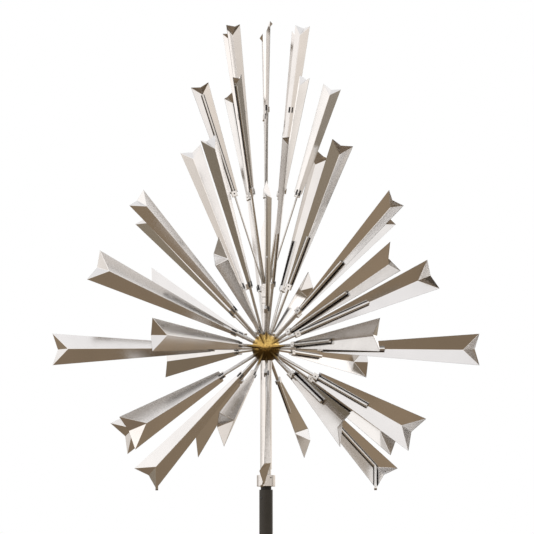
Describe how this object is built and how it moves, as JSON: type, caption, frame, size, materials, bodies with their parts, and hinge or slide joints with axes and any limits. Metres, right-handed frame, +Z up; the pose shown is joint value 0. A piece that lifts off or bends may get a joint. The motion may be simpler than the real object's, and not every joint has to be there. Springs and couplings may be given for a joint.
{
  "type": "wind-driven double rotor on a pole",
  "caption": "Pole-mounted vertical-axis wind spinner: two opposed starburst rotors of folded, tapered steel blades on rods round a brass ball hub.",
  "frame": {"origin": "centre of the base flange's underside", "axes": "+Z up the pole, the rotors' common axis; +X along one arm of the lower rotor's level ring"},
  "size_m": [1.5346, 1.3452, 2.4168],
  "materials": {
    "blade_steel": "mirror-polished stainless sheet with a fine grain",
    "rod_steel": "bright drawn stainless rod",
    "clamp_steel": "satin machined stainless",
    "brass": "polished brass, slightly tarnished below",
    "pole_paint": "charcoal powder coat, satin",
    "plug_black": "blackened steel, satin",
    "tube_steel": "polished stainless tube",
    "machined_steel": "turned stainless, satin",
    "dark_screw": "black oxide steel",
    "bearing_steel": "ground bearing steel",
    "cage_brass": "pressed brass"
  },
  "bodies": {
    "stand": {"base_flange": "pole_paint", "pole_weld": "pole_paint", "pole_tube": "pole_paint", "pole_plug": "plug_black", "plug_screws": "dark_screw", "spindle": "machined_steel", "spacer_tube": "tube_steel", "shaft_collar": "machined_steel", "shaft_collar_screw": "dark_screw", "housing_bearing_inner_race": "bearing_steel", "hub_bearing_inner_race": "bearing_steel", "crown_bearing_inner_race": "bearing_steel"},
    "lower_rotor": {"ball_hub": "brass", "mast_tube": "tube_steel", "bearing_housing": "machined_steel", "housing_screws": "dark_screw", "housing_bearing_outer_race": "bearing_steel", "hub_bearing_outer_race": "bearing_steel", "arms_foot": "rod_steel", "blades_foot": "blade_steel", "clamps_foot": "clamp_steel", "arms_low": "rod_steel", "blades_low": "blade_steel", "clamps_low": "clamp_steel", "arms_level": "rod_steel", "blades_level": "blade_steel", "clamps_level": "clamp_steel", "arms_rising": "rod_steel", "blades_rising": "blade_steel", "clamps_rising": "clamp_steel", "arms_slanted": "rod_steel", "blades_slanted": "blade_steel", "clamps_slanted": "clamp_steel", "arms_steep": "rod_steel", "blades_steep": "blade_steel", "clamps_steep": "clamp_steel", "lower_keeper_bars": "dark_screw", "lower_clamp_screws": "dark_screw"},
    "upper_rotor": {"crown_hub": "machined_steel", "crown_bearing_outer_race": "bearing_steel", "arms_outer_crown": "rod_steel", "blades_outer_crown": "blade_steel", "clamps_outer_crown": "clamp_steel", "arms_inner_crown": "rod_steel", "blades_inner_crown": "blade_steel", "clamps_inner_crown": "clamp_steel", "upper_keeper_bars": "dark_screw", "upper_clamp_screws": "dark_screw"},
    "lower_cages": {"housing_bearing_balls": "bearing_steel", "housing_bearing_cage": "cage_brass", "hub_bearing_balls": "bearing_steel", "hub_bearing_cage": "cage_brass"},
    "upper_cages": {"crown_bearing_balls": "bearing_steel", "crown_bearing_cage": "cage_brass"}
  },
  "joints": [
    {"name": "lower_rotor_spin", "type": "hinge", "parent": "stand", "child": "lower_rotor", "pos_m": [0, 0, 1.25], "axis": [0, 0, 1], "continuous": true},
    {"name": "upper_rotor_spin", "type": "hinge", "parent": "stand", "child": "upper_rotor", "pos_m": [0, 0, 1.448], "axis": [0, 0, 1], "continuous": true},
    {"name": "lower_cages_spin", "type": "hinge", "parent": "stand", "child": "lower_cages", "pos_m": [0, 0, 0.765], "axis": [0, 0, 1], "continuous": true},
    {"name": "upper_cages_spin", "type": "hinge", "parent": "stand", "child": "upper_cages", "pos_m": [0, 0, 1.448], "axis": [0, 0, 1], "continuous": true}
  ],
  "couplings": [
    {"joint": "lower_cages_spin", "follows": "lower_rotor_spin", "ratio": 0.6},
    {"joint": "upper_cages_spin", "follows": "upper_rotor_spin", "ratio": 0.6}
  ]
}
